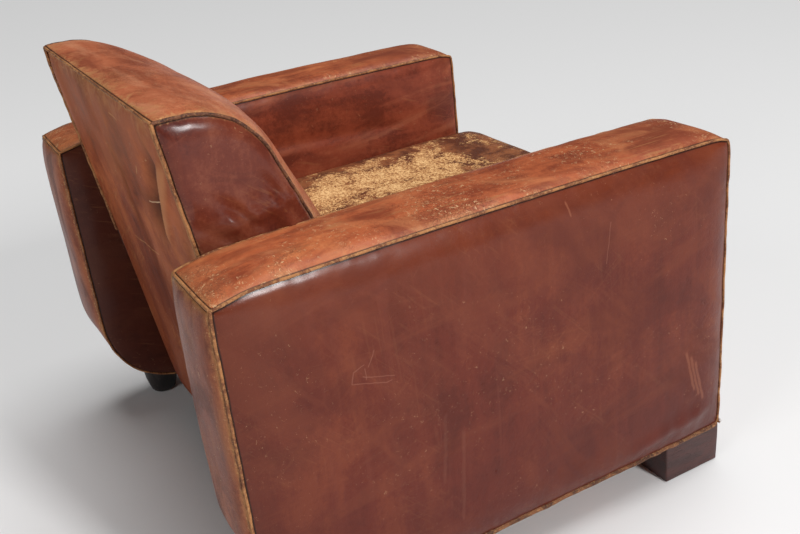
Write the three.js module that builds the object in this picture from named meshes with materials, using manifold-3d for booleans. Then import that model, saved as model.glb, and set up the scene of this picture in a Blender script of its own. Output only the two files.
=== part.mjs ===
// A worn leather club chair: two box arms, a raked back that rises between them, a sprung seat with a
// rolled front edge, square block feet in front and small turned feet behind.
// Millimetres, +Z up. The sitter faces -Y, and the origin is on the floor under the chair's middle.
import * as THREE from "three";
import { mergeVertices } from "three/addons/utils/BufferGeometryUtils.js";
import Module from "manifold-3d";

const wasm = await Module();
wasm.setup();

// Driving dimensions. Until the last lines, y runs backwards from the front of the arms.
const WIDTH = 872; // over the arms
const ARM_THICK = 137;
const ARM_LENGTH = 785;
const ARM_TOP = 560;
const UNDERSIDE = 70; // floor to the underside of the arms
const SWEEP = 140; // radius of the arm's lower rear corner
const SEAT_TOP = 395;
const SEAT_BOTTOM = 302;
const NOSE = 66; // the seat's roll stands this far in front of the arms
const BACK_TOP = 730;
const BACK_BOTTOM = 312;
const BACK_HALF = 291; // half of the back's width
const LEATHER = 2.2;
const GAP = 0.4; // between pieces that touch
const CORD = 3; // radius of the piping
const SEAM = 2 * CORD + 2 * GAP; // the strip along each edge that the piping takes

const OUTER = WIDTH / 2;
const INNER = OUTER - ARM_THICK;
const SEAT_HALF = INNER - 3;
const MIDDLE = (ARM_LENGTH - NOSE) / 2; // the y that becomes 0 at the end

// The back's rear face and front face, as lines in the side view.
const rearLine = (z) => 674.5 + (z - UNDERSIDE) * 0.1408;
const frontLine = (z) => 587.2 + (z - 557.4) * 0.415;

// Outlines in the side view. Each corner is [y, z, radius], counter-clockwise.
const ARM_OUTLINE = [
  [0, UNDERSIDE, 6],
  [ARM_LENGTH, UNDERSIDE, SWEEP],
  [ARM_LENGTH, ARM_TOP, 12],
  [0, ARM_TOP, 16],
];
const BACK_OUTLINE = [
  [frontLine(BACK_BOTTOM), BACK_BOTTOM, 4],
  [rearLine(BACK_BOTTOM), BACK_BOTTOM, 4],
  [rearLine(BACK_TOP), BACK_TOP, 8],
  [frontLine(BACK_TOP), BACK_TOP, 60],
];
const SEAT_REAR_GAP = 6; // between the seat and the back's front face
const SEAT_OUTLINE = [
  [-NOSE, SEAT_BOTTOM, 30],
  [frontLine(SEAT_BOTTOM) - SEAT_REAR_GAP, SEAT_BOTTOM, 4],
  [frontLine(SEAT_TOP) - SEAT_REAR_GAP, SEAT_TOP, 10],
  [-NOSE, SEAT_TOP, 50],
];

const SIDES = [
  ["left", 1],
  ["right", -1],
];

const finish = (color, roughness, metalness = 0) =>
  new THREE.MeshStandardMaterial({ color, roughness, metalness });
const leather = finish(0x74382a, 0.42);
const wornLeather = finish(0x8a6238, 0.7);
const pipingLeather = finish(0xa9763f, 0.6);
const beech = finish(0xc09a68, 0.7);
const mahogany = finish(0x3a1512, 0.35);
const horsehair = finish(0x4b3a2c, 0.95);
const jute = finish(0xa58a5c, 0.95);
const steel = finish(0x8c8780, 0.4, 0.9);
const blackCloth = finish(0x1a1a1b, 0.95);

// ---- Solids ----

// A closed geometry as a solid. A lathe's poles hold triangles with no area, and these are left out.
function solid(geometry) {
  const bare = geometry.index ? geometry.toNonIndexed() : geometry.clone();
  bare.deleteAttribute("normal");
  bare.deleteAttribute("uv");
  const merged = mergeVertices(bare, 1e-3);
  const corners = merged.index.array;
  const kept = [];
  for (let i = 0; i < corners.length; i += 3) {
    const [a, b, c] = corners.slice(i, i + 3);
    if (a !== b && b !== c && c !== a) kept.push(a, b, c);
  }
  const vertProperties = merged.attributes.position.array;
  const triVerts = new Uint32Array(kept);
  return new wasm.Manifold(new wasm.Mesh({ numProp: 3, vertProperties, triVerts }));
}

function geometryOf(made) {
  const { vertProperties, triVerts } = made.getMesh();
  const geometry = new THREE.BufferGeometry();
  geometry.setAttribute("position", new THREE.BufferAttribute(vertProperties, 3));
  geometry.setIndex(new THREE.BufferAttribute(triVerts, 1));
  geometry.computeVertexNormals();
  return geometry;
}

function piece(name, shape, material) {
  const mesh = new THREE.Mesh(shape.isBufferGeometry ? shape : geometryOf(shape), material);
  mesh.name = name;
  return mesh;
}

const cut = (body, ...tools) => tools.reduce((left, tool) => left.subtract(tool), body);

// An outline's corners with every side moved inwards by inset.
function insetCorners(corners, inset) {
  const points = corners.map(([y, z]) => new THREE.Vector2(y, z));
  const count = points.length;
  return points.map((corner, i) => {
    const into = corner.clone().sub(points[(i + count - 1) % count]).normalize();
    const out = points[(i + 1) % count].clone().sub(corner).normalize();
    const sum = new THREE.Vector2(-into.y - out.y, into.x + out.x);
    return corner.clone().addScaledVector(sum, inset / (1 + into.dot(out)));
  });
}

// The points of a rounded outline that is inset by a distance. Every inset has as many points.
const CORNER_STEPS = 5;
const LEAST_RADIUS = 0.4;
function roundedLoop(corners, inset = 0) {
  const points = insetCorners(corners, inset);
  const count = points.length;
  return points.flatMap((corner, i) => {
    const into = corner.clone().sub(points[(i + count - 1) % count]).normalize();
    const out = points[(i + 1) % count].clone().sub(corner).normalize();
    const radius = Math.max(corners[i][2] - inset, LEAST_RADIUS);
    const turn = Math.acos(into.dot(out));
    const start = corner.clone().addScaledVector(into, -radius * Math.tan(turn / 2));
    const centre = new THREE.Vector2(start.x - into.y * radius, start.y + into.x * radius);
    const spoke = start.sub(centre);
    return Array.from({ length: CORNER_STEPS + 1 }, (_, step) =>
      spoke.clone().rotateAround(new THREE.Vector2(), (turn * step) / CORNER_STEPS).add(centre),
    );
  });
}

// A solid across the chair through a list of [x, inset] levels of an outline, in rising x.
function loft(corners, levels) {
  const loops = levels.map(([, inset]) => roundedLoop(corners, inset));
  const count = loops[0].length;
  const vertices = loops.flatMap((loop, k) => loop.flatMap(({ x, y }) => [levels[k][0], x, y]));
  const index = [];
  for (let k = 0; k < loops.length - 1; k++) {
    for (let i = 0; i < count; i++) {
      const next = (i + 1) % count;
      const [a, b, c, d] = [k * count + i, k * count + next, (k + 1) * count + next, (k + 1) * count + i];
      index.push(a, b, c, a, c, d);
    }
  }
  const last = (loops.length - 1) * count;
  for (const [a, b, c] of THREE.ShapeUtils.triangulateShape(loops[0], [])) {
    index.push(a, c, b, last + a, last + b, last + c);
  }
  const geometry = new THREE.BufferGeometry();
  geometry.setAttribute("position", new THREE.Float32BufferAttribute(vertices, 3));
  return solid(geometry.setIndex(index));
}

const slab = (corners, x0, x1, inset = 0) => loft(corners, [[x0, inset], [x1, inset]]);

// Two x values on one side of the chair, in rising order.
const mirrored = (sign, ...xs) => xs.map((x) => x * sign).sort((a, b) => a - b);

// What lies between two insets of an outline.
const ring = (corners, x0, x1, outside, inside) =>
  slab(corners, x0, x1, outside).subtract(slab(corners, x0, x1, inside));

// A side-view polygon extruded across the chair from x0 to x1.
const ACROSS = new THREE.Matrix4().makeBasis(
  new THREE.Vector3(0, 1, 0),
  new THREE.Vector3(0, 0, 1),
  new THREE.Vector3(1, 0, 0),
);
function across(points, x0, x1) {
  const shape = new THREE.Shape(points.map(([y, z]) => new THREE.Vector2(y, z)));
  const geometry = new THREE.ExtrudeGeometry(shape, { depth: x1 - x0, bevelEnabled: false });
  return solid(geometry.translate(0, 0, x0).applyMatrix4(ACROSS));
}

function block(x0, x1, y0, y1, z0, z1) {
  const geometry = new THREE.BoxGeometry(x1 - x0, y1 - y0, z1 - z0);
  return solid(geometry.translate((x0 + x1) / 2, (y0 + y1) / 2, (z0 + z1) / 2));
}

function rodAcross(radius, x0, x1, y, z, sides = 8) {
  const geometry = new THREE.CylinderGeometry(radius, radius, x1 - x0, sides);
  return solid(geometry.rotateZ(Math.PI / 2).translate((x0 + x1) / 2, y, z));
}

function peg(radius, x, y, z0, z1) {
  const geometry = new THREE.CylinderGeometry(radius, radius, z1 - z0, 12);
  return solid(geometry.rotateX(Math.PI / 2).translate(x, y, (z0 + z1) / 2));
}

// Piping round an outline: an eight-sided cord in the edge whose outer side is at x.
function cordRound(corners, x, inwards) {
  const side = 2 * CORD;
  const corner = 0.29 * side;
  const [x0, x3] = mirrored(inwards, x * inwards + GAP, x * inwards + GAP + side);
  const [x1, x2] = [x0 + corner, x3 - corner];
  const inner = GAP + side;
  const outside = loft(corners, [[x0, GAP + corner], [x1, GAP], [x2, GAP], [x3, GAP + corner]]);
  const inside = loft(corners, [[x0, inner - corner], [x1, inner], [x2, inner], [x3, inner - corner]]);
  return cut(outside, inside);
}

// Stuffing under leather, with its long edges bevelled to clear the piping.
const PAD_BEVEL = 7.6;
const pad = (corners, x0, x1) =>
  loft(corners, [
    [x0, LEATHER + GAP + PAD_BEVEL],
    [x0 + PAD_BEVEL, LEATHER + GAP],
    [x1 - PAD_BEVEL, LEATHER + GAP],
    [x1, LEATHER + GAP + PAD_BEVEL],
  ]);

// ---- Seat frame and springing ----

const RAIL_BOTTOM = 78;
const RAIL_TOP = 208;
const FRAME_INSET = 24.5; // from the arm's outline to its boards
const BOARD = 28; // thickness of the arm's boards
const BOARD_X = [INNER + 19.5, OUTER - 14.5];
const FRONT_RAIL_Y = [12, 42];
const REAR_RAIL_Y = [600, 628];
const SIDE_RAIL_X = [INNER - 31, INNER - 3];

const railAcross = ([y0, y1], extra = 0) =>
  block(
    -BOARD_X[0] + GAP - extra,
    BOARD_X[0] - GAP + extra,
    y0 - extra,
    y1 + extra,
    RAIL_BOTTOM - extra,
    RAIL_TOP + extra,
  );

function seatFrame() {
  const group = new THREE.Group();
  group.add(piece("seat_front_rail", railAcross(FRONT_RAIL_Y), beech));
  group.add(piece("seat_rear_rail", railAcross(REAR_RAIL_Y), beech));
  const sideY = [FRONT_RAIL_Y[1] + GAP, REAR_RAIL_Y[0] - GAP];
  for (const [side, sign] of SIDES) {
    const rail = block(...mirrored(sign, ...SIDE_RAIL_X), ...sideY, RAIL_BOTTOM, RAIL_TOP);
    group.add(piece(`seat_side_rail_${side}`, rail, beech));
  }
  return group;
}

const SPRING_X = [-165, 0, 165];
const SPRING_Y = [130, 300, 470];
const WEB_WIDTH = 55;
const WEB_THICK = 1.4;
const LONG_WEB_Z = RAIL_BOTTOM - GAP - WEB_THICK;
const CROSS_WEB_Z = LONG_WEB_Z - GAP - WEB_THICK;

function webbing() {
  const group = new THREE.Group();
  const half = WEB_WIDTH / 2;
  SPRING_X.forEach((x, i) => {
    const long = [FRONT_RAIL_Y[0] + 4, REAR_RAIL_Y[1] - 4, LONG_WEB_Z, LONG_WEB_Z + WEB_THICK];
    group.add(piece(`seat_web_long_${i + 1}`, block(x - half, x + half, ...long), jute));
  });
  const reach = SIDE_RAIL_X[1] - 4;
  SPRING_Y.forEach((y, i) => {
    const strap = block(-reach, reach, y - half, y + half, CROSS_WEB_Z, CROSS_WEB_Z + WEB_THICK);
    group.add(piece(`seat_web_cross_${i + 1}`, strap, jute));
  });
  return group;
}

// A double-cone coil spring: wide at both ends, with a narrow waist.
class CoilCurve extends THREE.Curve {
  constructor(height, turns, endRadius, waistRadius) {
    super();
    Object.assign(this, { height, turns, endRadius, waistRadius });
  }
  getPoint(t, target = new THREE.Vector3()) {
    const spread = (2 * t - 1) ** 2;
    const radius = this.waistRadius + (this.endRadius - this.waistRadius) * spread;
    const angle = t * this.turns * 2 * Math.PI;
    return target.set(radius * Math.cos(angle), radius * Math.sin(angle), t * this.height);
  }
}

function springs() {
  const group = new THREE.Group();
  const wire = 2; // radius
  const foot = RAIL_BOTTOM + GAP + wire + 1;
  const curve = new CoilCurve(SEAT_BOTTOM - foot - 2 * wire - 1, 5.5, 46, 30);
  const section = new THREE.Shape().absarc(0, 0, wire, 0, 2 * Math.PI, false);
  const coil = { steps: 44, extrudePath: curve, curveSegments: 3 };
  SPRING_Y.forEach((y, row) => {
    SPRING_X.forEach((x, column) => {
      const name = `seat_spring_${row * SPRING_X.length + column + 1}`;
      const spring = piece(name, new THREE.ExtrudeGeometry(section, coil), steel);
      spring.position.set(x, y, foot);
      group.add(spring);
    });
  });
  return group;
}

function seatUpholstery() {
  const group = new THREE.Group();
  const padHalf = SEAT_HALF - LEATHER;
  group.add(piece("seat_stuffing", slab(SEAT_OUTLINE, -padHalf, padHalf, LEATHER + GAP), horsehair));
  // The cover lies over the top and round the nose, and is open underneath and down the rear.
  const skin = ring(SEAT_OUTLINE, -SEAT_HALF, SEAT_HALF, 0, LEATHER);
  const tuck = -10;
  const under = block(-WIDTH, WIDTH, tuck, ARM_LENGTH, 0, SEAT_TOP - 60);
  group.add(piece("seat_cover", cut(skin, under), wornLeather));
  const apronTop = SEAT_BOTTOM - 1;
  const apron = block(-INNER + 1, INNER - 1, 0.6, 0.6 + LEATHER, UNDERSIDE + 1, apronTop);
  group.add(piece("front_apron", apron, leather));
  return group;
}

// ---- Feet ----

const TENON = 12; // radius
const FRONT_FOOT = { size: 110, x: OUTER - 6 - 55, y: 51, tenonTop: 116 };
const REAR_FOOT = { top: 33, bottom: 21, x: 398, y: 680, tenonTop: 118 };
const CLOTH_BOTTOM = UNDERSIDE - GAP - 1;
const FOOT_TOP = CLOTH_BOTTOM - GAP;

const tenon = ({ x, y, tenonTop }, extra = 0) =>
  peg(TENON + extra, x, y, FOOT_TOP - 5, tenonTop + extra);

function frontFoot(side) {
  const { x, y, size } = FRONT_FOOT;
  const half = size / 2;
  const body = block(x - half, x + half, y - half, y + half, 0, FOOT_TOP);
  return piece(`foot_front_${side}`, body.add(tenon(FRONT_FOOT)), mahogany);
}

// The rear foot is turned, narrow at the floor, and its top is scribed to the arm's swept corner.
function rearFoot(side) {
  const { x, y, top, bottom } = REAR_FOOT;
  const height = UNDERSIDE + 20;
  const profile = [
    [0, 0],
    [bottom, 0],
    [bottom + 4, 5],
    [top - 2, 38],
    [top, 58],
    [top, height],
    [0, height],
  ].map(([radius, z]) => new THREE.Vector2(radius, z));
  const turned = solid(new THREE.LatheGeometry(profile, 20).rotateX(Math.PI / 2).translate(x, y, 0));
  const arm = slab(ARM_OUTLINE, INNER - 1, OUTER + 1, -GAP);
  return piece(`foot_rear_${side}`, cut(turned, arm).add(tenon(REAR_FOOT)), mahogany);
}

// ---- Arms. Each is built as the left one, and the right one is its mirror image. ----

// The bands meet on a line through the rear top corner.
const BAND_TUCK = 30; // the bands turn under the arm by this much
const FAR = 60; // cutting shapes reach this far past the arm
const splitY = ARM_LENGTH - 120;
const splitZ = ARM_TOP - 120;
const topAndFront = [
  [BAND_TUCK, UNDERSIDE - FAR],
  [BAND_TUCK, splitZ],
  [splitY - GAP, splitZ],
  [ARM_LENGTH + FAR - GAP, ARM_TOP + FAR],
  [-FAR, ARM_TOP + FAR],
  [-FAR, UNDERSIDE - FAR],
];
const rearAndSweep = [
  [ARM_LENGTH - SWEEP - BAND_TUCK, UNDERSIDE - FAR],
  [ARM_LENGTH + FAR, UNDERSIDE - FAR],
  [ARM_LENGTH + FAR, ARM_TOP + FAR],
  [splitY, splitZ],
  [ARM_LENGTH - SWEEP - BAND_TUCK, splitZ],
];

// The outer face is a shallow dome standing on the plane at x. Its foot is just inside the piping.
const CROWN = 9;
const domeOn = (x, foot) =>
  loft(ARM_OUTLINE, [[x, foot], [x + 0.6 * CROWN, foot + 14], [x + CROWN, foot + 60]]);

const railCuts = () => [FRONT_RAIL_Y, REAR_RAIL_Y].map((y) => railAcross(y, GAP));

function armLeather(side) {
  const skin = ring(ARM_OUTLINE, INNER + SEAM, OUTER - SEAM, 0, LEATHER);
  const bands = cut(skin, tenon(REAR_FOOT, GAP));
  const plane = OUTER - LEATHER;
  const outerFace = domeOn(OUTER, SEAM).add(slab(ARM_OUTLINE, plane, OUTER, SEAM));
  const innerFace = slab(ARM_OUTLINE, INNER, INNER + LEATHER, SEAM);
  return [
    piece(`arm_outer_panel_${side}`, cut(outerFace, domeOn(plane, SEAM + LEATHER)), leather),
    piece(`arm_inner_panel_${side}`, cut(innerFace, ...railCuts()), leather),
    piece(`arm_band_${side}`, bands.intersect(across(topAndFront, 0, WIDTH)), leather),
    piece(`arm_rear_band_${side}`, bands.intersect(across(rearAndSweep, 0, WIDTH)), leather),
  ];
}

// Padding round the boards: a thick-walled case that the seat rails and the feet's tenons enter.
function armStuffing(side) {
  const face = OUTER - LEATHER - GAP;
  const body = pad(ARM_OUTLINE, INNER + LEATHER + GAP, face).add(domeOn(face, 2 * SEAM));
  const hollowX = [BOARD_X[0] - GAP, BOARD_X[1] + GAP];
  const hollow = slab(ARM_OUTLINE, ...hollowX, FRAME_INSET - GAP);
  const tenons = [FRONT_FOOT, REAR_FOOT].map((foot) => tenon(foot, GAP));
  return piece(`arm_stuffing_${side}`, cut(body, hollow, ...railCuts(), ...tenons), horsehair);
}

// Four boards follow the outline inside the padding; the rear one is sawn to the sweep.
function armBoards(side) {
  const boards = ring(ARM_OUTLINE, ...BOARD_X, FRAME_INSET, FRAME_INSET + BOARD);
  const low = UNDERSIDE + FRAME_INSET + BOARD;
  const high = ARM_TOP - FRAME_INSET - BOARD;
  const sweepStart = ARM_LENGTH - SWEEP - 20;
  const middle = ARM_LENGTH / 2;
  const region = (y0, y1, z0, z1) => boards.intersect(block(0, WIDTH, y0, y1, z0, z1));
  const bottom = region(0, sweepStart - GAP, 0, low);
  const front = region(0, middle, low + GAP, high - GAP);
  const top = region(0, ARM_LENGTH, high, ARM_TOP);
  const rear = region(sweepStart, ARM_LENGTH, 0, high - GAP);
  return [
    piece(`arm_bottom_rail_${side}`, cut(bottom, tenon(FRONT_FOOT, GAP)), beech),
    piece(`arm_front_post_${side}`, front, beech),
    piece(`arm_top_rail_${side}`, top, beech),
    piece(`arm_rear_post_${side}`, cut(rear, tenon(REAR_FOOT, GAP)), beech),
  ];
}

function armPiping(side) {
  return [
    piece(`arm_outer_piping_${side}`, cordRound(ARM_OUTLINE, OUTER, -1), pipingLeather),
    piece(`arm_inner_piping_${side}`, cordRound(ARM_OUTLINE, INNER, 1), pipingLeather),
  ];
}

function arm(side, sign) {
  const group = new THREE.Group();
  group.add(...armLeather(side), armStuffing(side), ...armBoards(side), ...armPiping(side));
  group.add(frontFoot(side), rearFoot(side));
  group.scale.x = sign;
  return group;
}

// ---- Back ----

const GUSSET_BOTTOM = 500; // the gussets and their piping end below the arm tops
const POST = 34; // width of an upright
const POST_X = 268;
const POST_INSET = 13; // from the rear face to the uprights
const POST_DEPTH = 36;

// A raked bar in the side view, between two distances in front of the back's rear face.
const raked = (near, far, z0, z1) => [
  [rearLine(z0) - far, z0],
  [rearLine(z0) - near, z0],
  [rearLine(z1) - near, z1],
  [rearLine(z1) - far, z1],
];

const BACK_FRAME_TOP = 690;
const CROSS_PIPING_Y = rearLine(BACK_TOP) - CORD - 2;
const CROSS_PIPING_Z = BACK_TOP - CORD - 2;

function backFrame() {
  const group = new THREE.Group();
  const posts = raked(POST_INSET, POST_INSET + POST_DEPTH, RAIL_BOTTOM, BACK_FRAME_TOP);
  const besideRail = block(-WIDTH, WIDTH, REAR_RAIL_Y[0], REAR_RAIL_Y[1] + GAP, 0, RAIL_TOP + GAP);
  for (const [side, sign] of SIDES) {
    const post = across(posts, ...mirrored(sign, POST_X, POST_X - POST));
    group.add(piece(`back_upright_${side}`, cut(post, besideRail), beech));
  }
  const between = POST_X - POST - GAP;
  const bar = raked(POST_INSET, POST_INSET + POST_DEPTH, BACK_FRAME_TOP - 60, BACK_FRAME_TOP);
  group.add(piece("back_top_rail", across(bar, -between, between), beech));
  return group;
}

// The stuffing is slotted for the uprights and the top rail.
function backStuffing() {
  const padHalf = BACK_HALF - LEATHER - GAP;
  const channel = rodAcross(CORD + 2 * GAP, -BACK_HALF, BACK_HALF, CROSS_PIPING_Y, CROSS_PIPING_Z);
  const slot = raked(POST_INSET - GAP, POST_INSET + POST_DEPTH + GAP, 200, BACK_FRAME_TOP + GAP);
  const hollow = across(slot, -POST_X - GAP, POST_X + GAP);
  return piece("back_stuffing", cut(pad(BACK_OUTLINE, -padHalf, padHalf), hollow, channel), horsehair);
}

// The front cover runs from the rear top seam over the top and down behind the seat.
function backFrontCover() {
  const half = BACK_HALF - SEAM;
  const low = BACK_BOTTOM + 8;
  const topAndFace = across([
    [frontLine(low) - FAR, low],
    [frontLine(low) + 30, low],
    [rearLine(BACK_TOP) - 40, BACK_TOP - 40],
    [rearLine(BACK_TOP) - SEAM - 2, BACK_TOP - SEAM],
    [rearLine(BACK_TOP) - SEAM - 2, BACK_TOP + FAR],
    [frontLine(low) - FAR, BACK_TOP + FAR],
  ], -WIDTH, WIDTH);
  const cover = ring(BACK_OUTLINE, -half, half, 0, LEATHER).intersect(topAndFace);
  return piece("back_front_cover", cover, leather);
}

function backRearPanel() {
  const half = BACK_HALF - SEAM;
  const panel = raked(0, LEATHER, UNDERSIDE + 1, BACK_TOP - 12);
  return piece("back_rear_panel", across(panel, -half, half), leather);
}

function backTrim() {
  const group = new THREE.Group();
  const below = block(-WIDTH, WIDTH, 0, ARM_LENGTH + FAR, 0, GUSSET_BOTTOM);
  for (const [side, sign] of SIDES) {
    const gusset = slab(BACK_OUTLINE, ...mirrored(sign, BACK_HALF, BACK_HALF - LEATHER), SEAM);
    const piping = cordRound(BACK_OUTLINE, BACK_HALF * sign, -sign);
    group.add(piece(`back_gusset_${side}`, cut(gusset, below), leather));
    group.add(piece(`back_piping_${side}`, cut(piping, below), pipingLeather));
  }
  const half = BACK_HALF - SEAM;
  const cord = rodAcross(CORD, -half, half, CROSS_PIPING_Y, CROSS_PIPING_Z);
  group.add(piece("back_cross_piping", cord, pipingLeather));
  return group;
}

// ---- Underside ----

// Black cloth tacked over the whole underside. The front feet are fixed through it.
function dustCover() {
  const z = [CLOTH_BOTTOM, UNDERSIDE - GAP];
  const reach = OUTER - 10;
  const underArms = block(-reach, reach, 10, ARM_LENGTH - SWEEP, ...z);
  const behind = block(-INNER, INNER, ARM_LENGTH - SWEEP - 1, rearLine(CLOTH_BOTTOM) - LEATHER - 2, ...z);
  const holes = SIDES.map(([, sign]) => tenon({ ...FRONT_FOOT, x: FRONT_FOOT.x * sign }, GAP));
  return piece("dust_cover", cut(underArms.add(behind), ...holes), blackCloth);
}

const chair = new THREE.Group();
for (const [side, sign] of SIDES) chair.add(arm(side, sign));
chair.add(seatFrame(), webbing(), springs(), seatUpholstery());
chair.add(backFrame(), backStuffing(), backFrontCover(), backRearPanel(), backTrim(), dustCover());
chair.position.y = -MIDDLE;

const part = new THREE.Group();
part.add(chair);
export default part;
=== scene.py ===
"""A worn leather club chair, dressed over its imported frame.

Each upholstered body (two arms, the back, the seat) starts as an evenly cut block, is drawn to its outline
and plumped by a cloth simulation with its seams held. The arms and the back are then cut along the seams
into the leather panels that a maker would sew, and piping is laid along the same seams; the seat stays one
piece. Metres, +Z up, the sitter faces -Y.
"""

import math

import bpy
from mathutils import Matrix, Vector, kdtree, noise


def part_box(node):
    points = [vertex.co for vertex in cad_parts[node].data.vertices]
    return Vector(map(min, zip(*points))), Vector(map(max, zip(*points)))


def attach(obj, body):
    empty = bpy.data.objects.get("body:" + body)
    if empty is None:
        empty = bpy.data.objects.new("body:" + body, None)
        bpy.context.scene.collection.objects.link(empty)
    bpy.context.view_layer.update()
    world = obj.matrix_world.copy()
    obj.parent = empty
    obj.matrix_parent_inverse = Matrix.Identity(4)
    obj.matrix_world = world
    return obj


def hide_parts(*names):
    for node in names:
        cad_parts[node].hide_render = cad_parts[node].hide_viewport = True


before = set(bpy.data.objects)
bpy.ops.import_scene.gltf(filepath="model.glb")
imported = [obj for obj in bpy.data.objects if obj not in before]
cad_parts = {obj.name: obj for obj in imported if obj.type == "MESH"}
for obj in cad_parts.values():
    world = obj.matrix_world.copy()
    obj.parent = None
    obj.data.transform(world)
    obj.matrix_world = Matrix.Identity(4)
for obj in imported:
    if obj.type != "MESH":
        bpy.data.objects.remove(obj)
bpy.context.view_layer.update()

SIDES = (("left", 1), ("right", -1))


# ---------------------------------------------------------------- camera, light and floor

EYE = Vector((-1.4239, 0.6907, 1.0505))
EYE_YAW, EYE_PITCH, EYE_ROLL = (math.radians(a) for a in (-27.112, 25.194, -6.202))
EYE_LENS = 45.89


def add_camera():
    """Stands behind the chair's right arm and looks down over it, a little tilted."""
    ahead = Vector((
        math.cos(EYE_PITCH) * math.cos(EYE_YAW),
        math.cos(EYE_PITCH) * math.sin(EYE_YAW),
        -math.sin(EYE_PITCH),
    ))
    level = ahead.cross(Vector((0, 0, 1))).normalized()
    above = level.cross(ahead)
    right = level * math.cos(EYE_ROLL) + above * math.sin(EYE_ROLL)
    up = above * math.cos(EYE_ROLL) - level * math.sin(EYE_ROLL)
    bpy.ops.object.camera_add(location=EYE)
    camera = bpy.context.object
    camera.data.lens = EYE_LENS
    turn = Matrix((right, up, -ahead)).transposed()
    camera.matrix_world = Matrix.Translation(EYE) @ turn.to_4x4()
    bpy.context.scene.camera = camera


def add_softbox(place, aim, size, power):
    bpy.ops.object.light_add(type="AREA", location=place)
    lamp = bpy.context.object
    lamp.rotation_euler = (Vector(aim) - Vector(place)).to_track_quat("-Z", "Y").to_euler()
    lamp.data.shape = "RECTANGLE"
    lamp.data.size, lamp.data.size_y = size
    lamp.data.energy = power


def add_sun(turn, power, angle):
    bpy.ops.object.light_add(type="SUN", rotation=[math.radians(a) for a in turn])
    bpy.context.object.data.energy = power
    bpy.context.object.data.angle = math.radians(angle)


def add_studio():
    world = bpy.data.worlds.new("studio")
    world.use_nodes = True
    world.node_tree.nodes["Background"].inputs["Color"].default_value = (1, 1, 1, 1)
    world.node_tree.nodes["Background"].inputs["Strength"].default_value = 0.06
    bpy.context.scene.world = world
    bpy.context.scene.view_settings.view_transform = "Standard"
    add_sun((13, -1, 0), 2.1, 44)
    add_softbox((-6.0, -1.15, 3.5), (-0.35, 0.1, 0.45), (0.8, 1.7), 300)
    add_softbox((-1.8, 5.0, 3.1), (0, 0.35, 0.55), (2.2, 1.6), 62)
    bpy.ops.mesh.primitive_plane_add(size=60, location=(0, 0, 0))
    floor = bpy.context.object
    floor.name = "studio_floor"
    paper = Finish("studio_paper")
    paper.surface(color=(0.80, 0.80, 0.80, 1), roughness=0.75)
    paper.cover(floor)


# ---------------------------------------------------------------- shader maths


class Wire:
    """One socket of a material. Sums and products of wires add Math nodes."""

    def __init__(self, finish, socket):
        self.finish, self.socket = finish, socket

    def math(self, operation, other=None):
        values = [self] if other is None else [self, other]
        return self.finish.node("ShaderNodeMath", {"operation": operation}, dict(enumerate(values)))

    def __add__(self, other):
        return self.math("ADD", other)

    def __sub__(self, other):
        return self.math("SUBTRACT", other)

    def __mul__(self, other):
        return self.math("MULTIPLY", other)

    def __rsub__(self, other):
        return self.finish.node("ShaderNodeMath", {"operation": "SUBTRACT"}, {0: other, 1: self})

    __radd__, __rmul__ = __add__, __mul__

    def span(self, low, high):
        """0 at low and below, 1 at high and above, smooth between. low may be the larger."""
        inputs = {"Value": self, "From Min": low, "From Max": high}
        settings = {"interpolation_type": "SMOOTHSTEP"}
        return self.finish.node("ShaderNodeMapRange", settings, inputs)


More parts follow.
